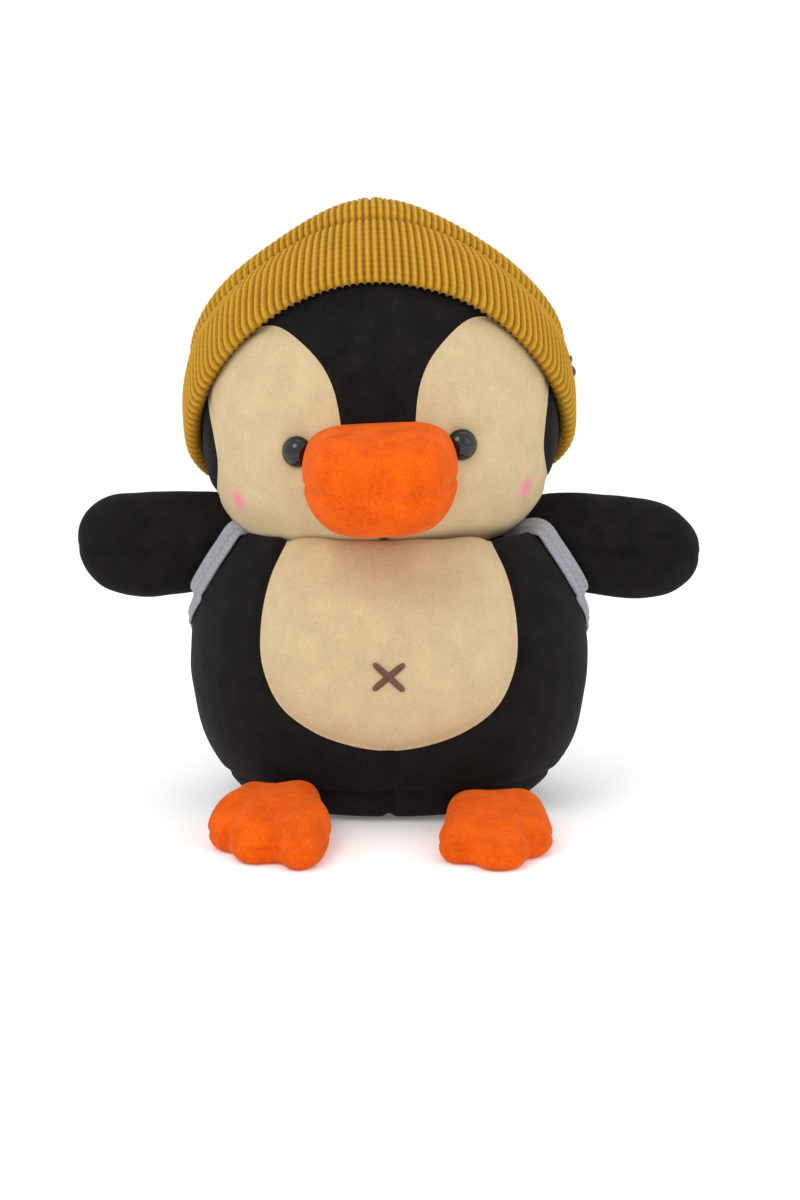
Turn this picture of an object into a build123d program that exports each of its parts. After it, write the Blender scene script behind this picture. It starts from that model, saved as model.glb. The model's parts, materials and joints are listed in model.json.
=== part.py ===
from build123d import *
from math import hypot
import os

os.makedirs("parts", exist_ok=True)

# A sitting plush penguin, in millimetres.
# +Z is up, -Y is the way it faces, +X is the penguin's own left side.
# The origin is on the table, under the middle of the torso.

# ---- driving dimensions -------------------------------------------------
CLOTH = 1.6                # thickness of a plush panel, pile included
GAP = 0.4                  # air between two bodies that move past each other

TORSO_WIDTH = 163.0
TORSO_DEPTH = 132.0
TORSO_TOP = 116.0          # top of the torso before the head presses a dish into it
BASE_HALF_WIDTH = 50.0     # flat part the penguin sits on
BASE_SEAM_HEIGHT = 13.0

NECK = (-1.5, 0.0, 101.0)  # middle of the neck, where the head turns and nods
NECK_RADIUS = 16.0
HEAD_ROLL = 2.5            # the head is sewn on slightly tilted, degrees

HEAD_WIDTH = 144.0
HEAD_DEPTH = 120.0
HEAD_HEIGHT = 133.0        # crown of the head above the neck

BEAK_HALF = (29.0, 38.0, 21.5)
BEAK_CENTRE = (0.0, -60.0, 38.5)
MOUTH_HEIGHT = 35.5        # all above the neck

EYE_RADIUS = 6.0
EYE_SPACING = 63.6
EYE_HEIGHT = 48.0

HAT_CLEARANCE = 1.2        # air between the head and the knit of the rim
KNIT_THICKNESS = 2.6       # one layer of knit
CROWN_STANDOFF = 5.0       # the crown puffs this far off the head above the cuff
CUFF_THICKNESS = 4.2       # the cuff is the knit folded double
CUFF_RISE = (23.0, 16.0)   # the top of the cuff lies this far back and up from the rim

FLIPPER_HINGE = (72.0, 0.0, 105.0)
FLIPPER_THICKNESS = 28.0
FLIPPER_SOCKET = 13.0      # radius of the hollow in the shoulder that the flipper's root swings in

FOOT_HINGE = (41.0, -54.0, 8.5)
FOOT_TOE_OUT = {"left": 0.0, "right": 10.0}   # degrees, the right foot is sewn on more splayed
FOOT_HALF_WIDTH = 21.0
FOOT_HALF_THICKNESS = 9.0

STRAP_WIDTH = 8.0
STRAP_THICKNESS = 1.6

BAG_WIDTH = 80.0
BAG_BOTTOM = 22.0
BAG_TOP = 80.0
BAG_BACK = 92.0            # how far behind the torso's middle the bag reaches
BAG_CLOTH = 1.8


# ---- helpers ------------------------------------------------------------
def lofted(rows, depth_ratio, grown=0.0):
    """A soft body through level ellipses, rows of (half width, height), grown along its own outline."""
    rings = []
    for index, (half_width, height) in enumerate(rows):
        width_before, height_before = rows[max(index - 1, 0)]
        width_after, height_after = rows[min(index + 1, len(rows) - 1)]
        length = hypot(width_after - width_before, height_after - height_before)
        outward = grown * (height_after - height_before) / length
        upward = -grown * (width_after - width_before) / length
        ring = Ellipse(half_width + outward, half_width * depth_ratio + outward)
        rings.append(Pos(0, 0, height + upward) * ring)
    return loft(rings)


def ellipsoid(centre, half):
    return Pos(*centre) * scale(Sphere(1), by=half)


def block(low, high):
    """A box between two corners."""
    size = [h - l for l, h in zip(low, high)]
    middle = [(l + h) / 2 for l, h in zip(low, high)]
    return Pos(*middle) * Box(*size)


def mirrored(body):
    return mirror(body, about=Plane.YZ)


FAR = 400.0
LEFT_HALF = block((0, -FAR, -FAR), (FAR, FAR, FAR))
RIGHT_HALF = block((-FAR, -FAR, -FAR), (0, FAR, FAR))
FRONT_HALF = block((-FAR, -FAR, -FAR), (FAR, 0, FAR))
BACK_HALF = block((-FAR, 0, -FAR), (FAR, FAR, FAR))

nodes = {}


# ---- torso --------------------------------------------------------------
TORSO_RATIO = TORSO_DEPTH / TORSO_WIDTH
TORSO_HALF = TORSO_WIDTH / 2
HEAD_RATIO = HEAD_DEPTH / HEAD_WIDTH
HEAD_HALF = HEAD_WIDTH / 2

TORSO_ROWS = [
    (BASE_HALF_WIDTH, 0),
    (TORSO_HALF - 14, BASE_SEAM_HEIGHT),
    (TORSO_HALF - 3, 31),
    (TORSO_HALF, 51),
    (TORSO_HALF - 1, 72),
    (TORSO_HALF - 7, 92),
    (62, 107),
    (34, 114),
]

# the underside of the head with room for it to turn and nod, heights from the neck
DISH_ROWS = [(12, -0.4), (42, 0.4), (59, 6), (71, 22), (76, 46), (70, 80)]


def dish(lowered):
    neck_x, neck_y, neck_z = NECK
    return Pos(neck_x, neck_y, neck_z - lowered) * lofted(DISH_ROWS, HEAD_RATIO)


def torso_shape(grown):
    return lofted(TORSO_ROWS, TORSO_RATIO, grown)


def flipper_socket():
    return Pos(*FLIPPER_HINGE) * Rot(90, 0, 0) * Cylinder(FLIPPER_SOCKET, FLIPPER_THICKNESS + 2)


def foot_frame(side):
    x, y, z = FOOT_HINGE
    sign = 1 if side == "left" else -1
    return Location((sign * x, y, z), (0, 0, sign * FOOT_TOE_OUT[side]))


def both_sides(body):
    return [body, mirrored(body)]


sockets = both_sides(flipper_socket())
FOOT_BARREL = 7.0
for side in ("left", "right"):
    sockets.append(foot_frame(side) * Rot(0, 90, 0) * Cylinder(FOOT_BARREL + 1.2, 2 * FOOT_HALF_WIDTH))
neck_socket = Pos(*NECK) * Sphere(NECK_RADIUS + GAP)

torso = torso_shape(0) - dish(STRAP_THICKNESS)
torso_inside = torso_shape(-CLOTH) - dish(STRAP_THICKNESS + CLOTH)
torso_inside -= block((-FAR, -FAR, -FAR), (FAR, FAR, CLOTH))
for socket in sockets + [neck_socket]:
    torso -= socket
    torso_inside -= socket
torso_skin = torso - torso_inside

base_zone = block((-FAR, -FAR, -FAR), (FAR, FAR, BASE_SEAM_HEIGHT))
above_base = torso_skin - base_zone

BELLY_HALF_WIDTH = 52.0
BELLY_TOP = 125.0
BELLY_BOTTOM = 33.0
belly_edge = Spline(
    (-44, BELLY_TOP), (-BELLY_HALF_WIDTH, 80), (-40, 46), (0, BELLY_BOTTOM), (40, 46),
    (BELLY_HALF_WIDTH, 80), (44, BELLY_TOP),
)
belly_face = make_face([belly_edge, Line((44, BELLY_TOP), (-44, BELLY_TOP))])
belly_zone = Pos(0, -6, 0) * extrude(Plane.XZ * belly_face, amount=FAR)

nodes["belly_patch"] = above_base & belly_zone
black_skin = above_base - belly_zone
nodes["torso_front_left"] = black_skin & FRONT_HALF & LEFT_HALF
nodes["torso_front_right"] = black_skin & FRONT_HALF & RIGHT_HALF
nodes["torso_back_left"] = black_skin & BACK_HALF & LEFT_HALF
nodes["torso_back_right"] = black_skin & BACK_HALF & RIGHT_HALF
nodes["torso_base"] = torso_skin & base_zone

# a flat bag of plastic pellets low in the stuffing keeps the penguin upright
POUCH_CENTRE = (0, 4, 15)
POUCH_HALF = (40, 32, 10)
pouch = ellipsoid(POUCH_CENTRE, POUCH_HALF)
nodes["pellet_pouch"] = pouch
nodes["torso_stuffing"] = torso_inside - pouch

# crossed satin-stitch bars in the middle of the belly
STITCH_LENGTH = 15.0
STITCH_WIDTH = 2.2
STITCH_HEIGHT = 0.9
STITCH_CENTRE = (0, 0, 62)
stitch_layer = torso_shape(STITCH_HEIGHT) - torso_shape(0)
stitch_bars = []
for lean in (38, -38):
    bar = Rot(0, lean, 0) * block((-STITCH_LENGTH / 2, -FAR, -STITCH_WIDTH / 2),
                                  (STITCH_LENGTH / 2, -10, STITCH_WIDTH / 2))
    stitch_bars.append(Pos(*STITCH_CENTRE) * bar)
nodes["belly_stitch"] = stitch_layer & (stitch_bars[0] + stitch_bars[1])


# ---- neck ---------------------------------------------------------------
nodes["neck_stuffing"] = Pos(*NECK) * Sphere(NECK_RADIUS)


# ---- head, built upright about the neck and then tilted ------------------
HEAD_FRAME = Location(NECK, (0, -HEAD_ROLL, 0))
HEAD_ROWS = [
    (20, 3),
    (42, 5),
    (58, 14),
    (68, 28),
    (HEAD_HALF, 48),
    (69, 72),
    (60, 95),
    (43, 116),
    (22, 129),
    (8, HEAD_HEIGHT),
]

head_outer = lofted(HEAD_ROWS, HEAD_RATIO)
head_inner = lofted(HEAD_ROWS, HEAD_RATIO, -CLOTH)
head_neck = Sphere(NECK_RADIUS + GAP)
head_skin = head_outer - head_inner - head_neck

patch_outline = [
    (0, -5), (0, 24), (14.5, 32), (14.5, 59), (17, 73), (24, 85), (37.5, 95), (47, 88.5),
    (60, 72.5), (65.5, 58), (64.5, 42), (68, 30), (70, -5),
]
patch_face = make_face(Polyline(*patch_outline, close=True))
patch_zone = Pos(0, -8, 0) * extrude(Plane.XZ * patch_face, amount=FAR)

# safety eyes: a glossy dome on a stem, held by a washer inside the cloth
EYE_DOME_HEIGHT = 4.0
EYE_STEM_RADIUS = 1.7
EYE_STEM_LENGTH = 13.0
EYE_TURN_OUT = 15.0
WASHER_RADIUS = 7.0
WASHER_THICKNESS = 1.3
WASHER_DEPTH = 5.0
eye_x = EYE_SPACING / 2
eye_y = -HEAD_RATIO * (HEAD_HALF ** 2 - eye_x ** 2) ** 0.5
eye_frame = Location((eye_x, eye_y + 0.8, EYE_HEIGHT), (90, 0, EYE_TURN_OUT))
dome_radius = (EYE_RADIUS ** 2 + EYE_DOME_HEIGHT ** 2) / (2 * EYE_DOME_HEIGHT)
eye_dome = Pos(0, 0, EYE_DOME_HEIGHT - dome_radius) * Sphere(dome_radius)
eye_dome &= block((-FAR, -FAR, 0), (FAR, FAR, FAR))
eye_dome += Pos(0, 0, -0.6) * Cylinder(EYE_RADIUS, 1.2)
eye_stem = Pos(0, 0, -EYE_STEM_LENGTH / 2) * Cylinder(EYE_STEM_RADIUS, EYE_STEM_LENGTH)
washer = Cylinder(WASHER_RADIUS, WASHER_THICKNESS) - Cylinder(EYE_STEM_RADIUS, WASHER_THICKNESS)
eye = eye_frame * (eye_dome + eye_stem)
washer = eye_frame * Pos(0, 0, -WASHER_DEPTH) * washer
eye_tools = both_sides(eye) + both_sides(washer)

# beak: two plush halves over a ball of stuffing
beak_outer = ellipsoid(BEAK_CENTRE, BEAK_HALF) - head_outer
beak_inner = ellipsoid(BEAK_CENTRE, tuple(h - CLOTH for h in BEAK_HALF)) - head_outer
for tool in both_sides(eye):
    beak_outer -= tool
    beak_inner -= tool
beak_skin = beak_outer - beak_inner
mouth_zone = block((-FAR, -FAR, MOUTH_HEIGHT), (FAR, FAR, FAR))

head_nodes = {
    "beak_upper": beak_skin & mouth_zone,
    "beak_lower": beak_skin - mouth_zone,
    "beak_stuffing": beak_inner,
    "eye_left": eye,
    "eye_right": mirrored(eye),
    "eye_washer_left": washer,
    "eye_washer_right": mirrored(washer),
}

head_stuffing = head_inner - head_neck
for tool in eye_tools:
    head_stuffing -= tool
    head_skin -= tool
face_left = head_skin & patch_zone
CENTRE_PANEL_HALF = 37.0
black_head = head_skin - patch_zone - mirrored(patch_zone)
centre_zone = block((-CENTRE_PANEL_HALF, -FAR, -FAR), (CENTRE_PANEL_HALF, FAR, FAR))
head_nodes["head_stuffing"] = head_stuffing
head_nodes["face_patch_left"] = face_left
head_nodes["face_patch_right"] = head_skin & mirrored(patch_zone)
head_nodes["head_centre"] = black_head & centre_zone
head_nodes["head_side_left"] = (black_head - centre_zone) & LEFT_HALF
head_nodes["head_side_right"] = (black_head - centre_zone) & RIGHT_HALF
for name, body in head_nodes.items():
    nodes[name] = HEAD_FRAME * body


# ---- hat, a knit cap pulled over the back of the head --------------------
# the rim seen from the side: distance behind the neck and height above it
RIM_CURVE = [
    (-48, 135), (-41, 114), (-38, 105), (-29, 85), (-17, 67),
    (-3, 51), (9, 40), (25, 31), (45, 26), (75, 24),
]


def raised(curve, share):
    """The rim curve moved towards the top of the cuff."""
    back, up = CUFF_RISE
    return [(y + share * back, height + share * up) for y, height in curve]


def above(curve):
    """Everything above a curve that is seen from the side."""
    (start_y, start_height), (end_y, end_height) = curve[0], curve[-1]
    border = Polyline((end_y, end_height), (FAR, end_height), (FAR, FAR), (start_y, FAR), (start_y, start_height))
    return extrude(Plane.YZ * make_face([Spline(*curve), border]), amount=FAR, both=True)


def head_layer(inner, outer):
    """The space between two sizes of the head."""
    return lofted(HEAD_ROWS, HEAD_RATIO, outer) - lofted(HEAD_ROWS, HEAD_RATIO, inner)


rim_zone = above(RIM_CURVE)
crease_zone = above(raised(RIM_CURVE, 1.0))
shoulder_zone = above(raised(RIM_CURVE, 1.1))

lining_outer = HAT_CLEARANCE + KNIT_THICKNESS
crown_outer = CROWN_STANDOFF + KNIT_THICKNESS
hat_lining = head_layer(HAT_CLEARANCE, lining_outer) & rim_zone
hat_shoulder = head_layer(HAT_CLEARANCE, crown_outer) & crease_zone
hat_top = head_layer(CROWN_STANDOFF, crown_outer) & crease_zone
hat_crown = (hat_lining - crease_zone) + (hat_shoulder - shoulder_zone) + hat_top

cuff_outer = lining_outer + CUFF_THICKNESS
hat_cuff = head_layer(lining_outer, cuff_outer) & rim_zone
hat_cuff -= crease_zone

# one plain stitched bar on the left side of the cuff
MARK_LENGTH = 9.0
MARK_WIDTH = 3.0
MARK_HEIGHT = 0.9
MARK_MIDDLE = (1.0, 73.0)     # distance behind the neck and height above it
mark_y, mark_height = MARK_MIDDLE
hat_mark = head_layer(cuff_outer, cuff_outer + MARK_HEIGHT)
hat_mark &= block((0, mark_y - MARK_WIDTH / 2, mark_height - MARK_LENGTH / 2),
                  (FAR, mark_y + MARK_WIDTH / 2, mark_height + MARK_LENGTH / 2))

nodes["hat_crown"] = HEAD_FRAME * hat_crown
nodes["hat_cuff"] = HEAD_FRAME * hat_cuff
nodes["hat_mark"] = HEAD_FRAME * hat_mark


# ---- flippers: an upper and a lower panel around stuffing ----------------
FLIPPER_ROWS = [       # out from the hinge, middle height, half height and half thickness
    (-8.5, 0.0, 3.0, 4.0),
    (-5.0, 0.0, 7.0, 8.0),
    (0.0, 0.0, 9.0, 10.5),
    (8.0, 0.0, 11.5, 12.5),
    (20.0, -0.5, 18.0, 14.0),
    (32.0, 0.0, 20.5, 13.5),
    (44.0, 0.5, 17.5, 11.0),
    (52.0, 1.0, 9.5, 6.5),
    (55.0, 1.0, 3.5, 3.0),
]


def paddle(thinner):
    """The flipper through upright ellipses, with its skin this much thinner."""
    rings = []
    last = len(FLIPPER_ROWS) - 1
    for index, (out, middle, half_height, half_thickness) in enumerate(FLIPPER_ROWS):
        along = {0: thinner, last: -thinner}.get(index, 0.0)
        ring = Ellipse(half_thickness - thinner, half_height - thinner)
        rings.append(Plane((out + along, 0, middle), x_dir=(0, 1, 0), z_dir=(1, 0, 0)) * ring)
    return loft(rings)


flipper_outer = Pos(*FLIPPER_HINGE) * paddle(0)
flipper_inner = Pos(*FLIPPER_HINGE) * paddle(CLOTH)
flipper_skin = flipper_outer - flipper_inner
flipper_top = block((-FAR, -FAR, FLIPPER_HINGE[2]), (FAR, FAR, FAR))
flipper_nodes = {
    "upper": flipper_skin & flipper_top,
    "lower": flipper_skin - flipper_top,
    "stuffing": flipper_inner,
}
for name, body in flipper_nodes.items():
    nodes[f"flipper_left_{name}"] = body
    nodes[f"flipper_right_{name}"] = mirrored(body)


# ---- feet: three toes, a sole and an upper around thin stuffing ----------
TOES = [(-13.0, -47.0, 8.5), (0.0, -54.0, 9.5), (13.0, -47.0, 8.5)]   # x, y, half width


def foot_shape(thinner):
    half = (FOOT_HALF_WIDTH + 1 - thinner, 33 - thinner, FOOT_HALF_THICKNESS - thinner)
    body = ellipsoid((0, -29, 0), half)
    for x, y, width in TOES:
        body += ellipsoid((x, y, -0.5), (width - thinner, 15 - thinner, FOOT_HALF_THICKNESS - 1 - thinner))
    body += Rot(0, 90, 0) * Cylinder(FOOT_BARREL - thinner, 30 - 2 * thinner)
    floor = -FOOT_HINGE[2] + thinner
    return body - block((-FAR, -FAR, -FAR), (FAR, FAR, floor))


foot_outer = foot_shape(0)
foot_inner = foot_shape(CLOTH)
foot_skin = foot_outer - foot_inner
sole_zone = block((-FAR, -FAR, -FAR), (FAR, FAR, -3))
foot_nodes = {
    "upper": foot_skin - sole_zone,
    "sole": foot_skin & sole_zone,
    "stuffing": foot_inner,
}
for name, body in foot_nodes.items():
    for side in ("left", "right"):
        nodes[f"foot_{side}_{name}"] = foot_frame(side) * body


# ---- straps: flat elastic over the shoulder and under the flipper --------
STRAP_PRESSED = 0.8        # the head squeezes the elastic thinner where it rests on it
strap_layer = torso_shape(STRAP_THICKNESS) - dish(STRAP_PRESSED) - torso_shape(0)
dish_layer = torso_shape(0) & dish(STRAP_THICKNESS)
strap_layer += dish_layer - dish(STRAP_PRESSED)
for socket in sockets + [neck_socket]:
    strap_layer -= socket


def strap_slab(through, lean_y, turn_z):
    """A flat slab one strap wide, used to cut the strap out of the cloth layer."""
    return Pos(*through) * Rot(0, lean_y, turn_z) * Box(STRAP_WIDTH, FAR, FAR)


BAG_HALF = BAG_WIDTH / 2
front_run = strap_layer & strap_slab((65, 0, 97), -32.8, 0) & block((30, -FAR, 30), (FAR, 2, FAR))
shoulder_run = strap_layer & (Pos(46, 26, 0) * Rot(0, 0, 17) * Box(STRAP_WIDTH, FAR, FAR))
shoulder_run &= block((20, 2, 76), (FAR, FAR, FAR))
under_run = strap_layer & (Pos(0, 0, 73) * Rot(-32.6, 0, 0) * Box(FAR, FAR, STRAP_WIDTH))
under_run &= block((BAG_HALF, 2, 20), (FAR, FAR, 84))
strap = front_run + shoulder_run + under_run


# ---- small backpack carried by the straps --------------------------------
def bag_block(inset, top):
    corner = 9.0 - inset
    face = Pos(0, (50 + BAG_BACK) / 2) * RectangleRounded(BAG_WIDTH - 2 * inset, BAG_BACK - 50 - 2 * inset, corner)
    return extrude(Pos(0, 0, BAG_BOTTOM + inset) * face, amount=top - BAG_BOTTOM - inset)


bag_seat = torso_shape(STRAP_THICKNESS)
panel_zone = block((-BAG_HALF, 30, BAG_BOTTOM), (BAG_HALF, FAR, BAG_TOP))
nodes["bag_back"] = strap_layer & panel_zone
nodes["bag_pouch"] = bag_block(0, BAG_TOP) - bag_block(BAG_CLOTH, BAG_TOP + 1) - bag_seat
strap -= panel_zone
strap -= nodes["bag_pouch"]
nodes["strap_left"] = strap
nodes["strap_right"] = mirrored(strap)

FLAP_HINGE_Y = 66.0
FLAP_HINGE_Z = BAG_TOP + GAP + BAG_CLOTH / 2
FLAP_DROP = 24.0
flap_top = block((-BAG_HALF, FLAP_HINGE_Y, BAG_TOP + GAP), (BAG_HALF, BAG_BACK + 2.4, BAG_TOP + GAP + BAG_CLOTH))
flap_front = block((-BAG_HALF, BAG_BACK + GAP, BAG_TOP - FLAP_DROP),
                   (BAG_HALF, BAG_BACK + GAP + BAG_CLOTH, BAG_TOP + GAP + BAG_CLOTH))
nodes["bag_flap"] = flap_top + flap_front
SNAP_Z = BAG_TOP - FLAP_DROP + 7
snap_cap = Pos(0, BAG_BACK + GAP + BAG_CLOTH + 1, SNAP_Z) * Rot(90, 0, 0) * Cylinder(5, 2)
nodes["bag_snap"] = snap_cap


for name, body in nodes.items():
    export_step(body, f"parts/{name}.step")
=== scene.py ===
import json
import math
import bmesh
import bpy
import numpy as np
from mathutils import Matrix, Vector, noise
from mathutils.bvhtree import BVHTree

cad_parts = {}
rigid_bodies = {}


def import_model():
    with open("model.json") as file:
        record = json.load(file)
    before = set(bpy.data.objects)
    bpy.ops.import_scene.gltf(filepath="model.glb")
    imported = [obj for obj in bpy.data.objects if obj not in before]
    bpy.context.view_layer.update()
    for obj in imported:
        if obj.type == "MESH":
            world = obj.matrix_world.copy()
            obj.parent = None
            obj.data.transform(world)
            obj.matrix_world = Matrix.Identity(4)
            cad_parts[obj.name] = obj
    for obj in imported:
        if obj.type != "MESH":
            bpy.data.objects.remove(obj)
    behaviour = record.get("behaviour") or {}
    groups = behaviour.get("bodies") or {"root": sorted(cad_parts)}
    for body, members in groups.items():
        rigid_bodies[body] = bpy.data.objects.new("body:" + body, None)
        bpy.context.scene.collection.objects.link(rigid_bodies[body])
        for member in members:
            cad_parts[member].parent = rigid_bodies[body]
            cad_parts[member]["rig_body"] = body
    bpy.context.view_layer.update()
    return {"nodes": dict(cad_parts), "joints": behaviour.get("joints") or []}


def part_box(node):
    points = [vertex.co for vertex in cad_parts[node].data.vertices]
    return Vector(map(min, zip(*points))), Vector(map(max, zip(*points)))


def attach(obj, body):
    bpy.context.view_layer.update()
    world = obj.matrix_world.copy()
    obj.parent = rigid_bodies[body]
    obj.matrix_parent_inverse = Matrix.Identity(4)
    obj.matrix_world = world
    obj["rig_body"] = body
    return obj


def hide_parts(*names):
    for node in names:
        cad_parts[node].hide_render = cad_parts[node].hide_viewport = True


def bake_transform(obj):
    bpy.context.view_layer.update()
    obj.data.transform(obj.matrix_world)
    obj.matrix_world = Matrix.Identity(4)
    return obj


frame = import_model()
MM = 0.001
JOINTS = {joint["name"]: joint for joint in frame["joints"]}


# ---- places taken from the frame ----------------------------------------
NECK = np.array(JOINTS["head_turn"]["pos_m"])
HEAD_UP = np.array(JOINTS["head_turn"]["axis"])
HEAD_SIDE = np.array(JOINTS["head_nod"]["axis"])
HEAD_BACK = np.cross(HEAD_UP, HEAD_SIDE)
HEAD_AXES = np.array([HEAD_SIDE, HEAD_BACK, HEAD_UP])      # rows: side, back, up
TORSO_RATIO = 0.81         # depth of the torso over its width
HEAD_HALF = 72 * MM
HEAD_RATIO = 0.833
SHOULDER = np.array(JOINTS["flipper_left_raise"]["pos_m"])
ANKLE = np.array(JOINTS["foot_left_lift"]["pos_m"])


def head_place(points):
    """From the head's own upright axes at the neck to the row frame."""
    return NECK + np.asarray(points) @ HEAD_AXES


# ---- number helpers -----------------------------------------------------
def smooth_path(points, count, closed=False):
    """Evenly spaced points on a Catmull-Rom curve through the given ones."""
    p = np.array(points, float)
    if closed:
        p = np.vstack([p[-1], p, p[0], p[1]])
    else:
        p = np.vstack([2 * p[0] - p[1], p, 2 * p[-1] - p[-2]])
    t = np.linspace(0, 1, 24, endpoint=False)[:, None]
    parts = []
    for a, b, c, d in zip(p[:-3], p[1:-2], p[2:-1], p[3:]):
        parts.append(0.5 * (2 * b + (c - a) * t + (2 * a - 5 * b + 4 * c - d) * t ** 2
                            + (3 * b - a - 3 * c + d) * t ** 3))
    fine = np.vstack(parts + [p[-2][None]])
    run = np.concatenate([[0], np.cumsum(np.linalg.norm(np.diff(fine, axis=0), axis=1))])
    at = np.linspace(0, run[-1], count, endpoint=not closed)
    return np.stack([np.interp(at, run, fine[:, k]) for k in range(fine.shape[1])], axis=1)


def smooth_rows(rows, times):
    """Rows averaged with their neighbours, ends held."""
    rows = rows.copy()
    for _ in range(times):
        rows[1:-1] = (rows[:-2] + 2 * rows[1:-1] + rows[2:]) / 4
    return rows


def round_angles(count):
    """Even angles once round, from 0."""
    return np.linspace(0, 2 * math.pi, count, endpoint=False)


def powered(values, power):
    """Values raised to a power with their signs kept; below 1 it squares off a circle."""
    return np.sign(values) * np.abs(values) ** power


def bump(distance, width):
    """1 at distance 0, falling smoothly to 0 past about two widths."""
    return np.exp(-(distance / width) ** 2)


def wobble(points, scale, seed=0.0):
    """Smooth noise from -1 to 1 at each point, with lumps of about 1/scale metres."""
    return np.array([noise.noise(Vector(p) * scale + Vector((seed, 0, 0))) for p in points])


def outline_distance(flat, outline):
    """Signed distance of 2-D points from a closed outline, positive inside."""
    best = np.full(len(flat), 1e9)
    inside = np.zeros(len(flat), bool)
    for a, b in zip(outline, np.roll(outline, -1, axis=0)):
        edge = b - a
        along = np.clip(((flat - a) @ edge) / (edge @ edge + 1e-18), 0, 1)
        best = np.minimum(best, np.linalg.norm(flat - a - along[:, None] * edge, axis=1))
        crosses = (a[1] > flat[:, 1]) != (b[1] > flat[:, 1])
        reach = a[0] + (flat[:, 1] - a[1]) / (edge[1] + 1e-18) * edge[0]
        inside ^= crosses & (flat[:, 0] < reach)
    return np.where(inside, best, -best)


# ---- mesh helpers -------------------------------------------------------
def ring_faces(rows, columns, row_closed=False):
    """Quads of a grid whose columns close into rings."""
    last = rows if row_closed else rows - 1
    i, j = np.meshgrid(np.arange(last), np.arange(columns), indexing="ij")
    after = (j + 1) % columns
    up = (i + 1) % rows
    quads = np.stack([i * columns + j, i * columns + after, up * columns + after, up * columns + j], axis=-1)
    return quads.reshape(-1, 4)


def vertex_normals(points, faces):
    corners = points[faces]
    face_normals = np.cross(corners[:, 2] - corners[:, 0], corners[:, 3] - corners[:, 1])
    normals = np.zeros_like(points)
    for k in range(4):
        np.add.at(normals, faces[:, k], face_normals)
    return normals / (np.linalg.norm(normals, axis=1, keepdims=True) + 1e-12)


def tree_from(points, faces):
    """A search tree, for dropping one surface's points onto another."""
    return BVHTree.FromPolygons([tuple(p) for p in points], [tuple(int(i) for i in f) for f in faces])


def add_mesh(name, points, faces, material, smooth=True):
    mesh = bpy.data.meshes.new(name)
    mesh.from_pydata([tuple(p) for p in points], [], [tuple(int(i) for i in f) for f in faces])
    mesh.materials.append(material)
    mesh.update()
    piece = bpy.data.objects.new(name, mesh)
    bpy.context.scene.collection.objects.link(piece)
    if smooth:
        mesh.shade_smooth()
    return piece


def cut_into_panels(points, faces, fields):
    """Splits a surface exactly along the zero lines of the fields.

    Returns the new points, and for each face its corners and the signs of the fields in its middle."""
    work = bmesh.new()
    for p in points:
        work.verts.new(p)
    work.verts.ensure_lookup_table()
    for f in faces:
        work.faces.new([work.verts[i] for i in f])
    for field in fields:
        work.verts.ensure_lookup_table()
        values = field(np.array([v.co for v in work.verts]))
        level = {v: value for v, value in zip(work.verts, values)}
        on_line = []
        for edge in list(work.edges):
            a, b = edge.verts
            if level[a] * level[b] < 0:
                share = level[a] / (level[a] - level[b])
                _, middle = bmesh.utils.edge_split(edge, a, share)
                level[middle] = 0.0
                on_line.append(middle)
        bmesh.ops.connect_verts(work, verts=on_line)
    work.verts.index_update()
    cut_points = np.array([v.co for v in work.verts])
    cut_faces = [[v.index for v in face.verts] for face in work.faces]
    middles = np.array([face.calc_center_median() for face in work.faces])
    work.free()
    signs = [field(middles) > 0 for field in fields]
    return cut_points, cut_faces, signs


def add_panels(points, faces, owner, materials):
    """One object for each named panel; owner gives each face's panel name."""
    made = {}
    for name, material in materials.items():
        mine = [f for f, who in zip(faces, owner) if who == name]
        used = sorted({i for f in mine for i in f})
        place = {old: new for new, old in enumerate(used)}
        made[name] = add_mesh(name, points[used], [[place[i] for i in f] for f in mine], material)
    return made


# ---- materials ----------------------------------------------------------
def new_material(name):
    material = bpy.data.materials.new(name)
    material.use_nodes = True
    return material, material.node_tree.nodes, material.node_tree.links


def noise_node(nodes, links, coords, scale, detail=3.0, roughness=0.6):
    node = nodes.new("ShaderNodeTexNoise")
    node.inputs["Scale"].default_value = scale
    node.inputs["Detail"].default_value = detail
    node.inputs["Roughness"].default_value = roughness
    links.new(coords, node.inputs["Vector"])
    return node


def ramp_between(nodes, links, factor, low, high, start=0.35, end=0.65):
    ramp = nodes.new("ShaderNodeValToRGB")
    ramp.color_ramp.elements[0].position = start
    ramp.color_ramp.elements[0].color = (*low, 1)
    ramp.color_ramp.elements[1].position = end
    ramp.color_ramp.elements[1].color = (*high, 1)
    links.new(factor, ramp.inputs["Fac"])
    return ramp


def add_relief(nodes, links, shader, height, strength, depth):
    relief = nodes.new("ShaderNodeBump")
    relief.inputs["Strength"].default_value = strength
    relief.inputs["Distance"].default_value = depth
    links.new(height, relief.inputs["Height"])
    links.new(relief.outputs["Normal"], shader.inputs["Normal"])


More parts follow.
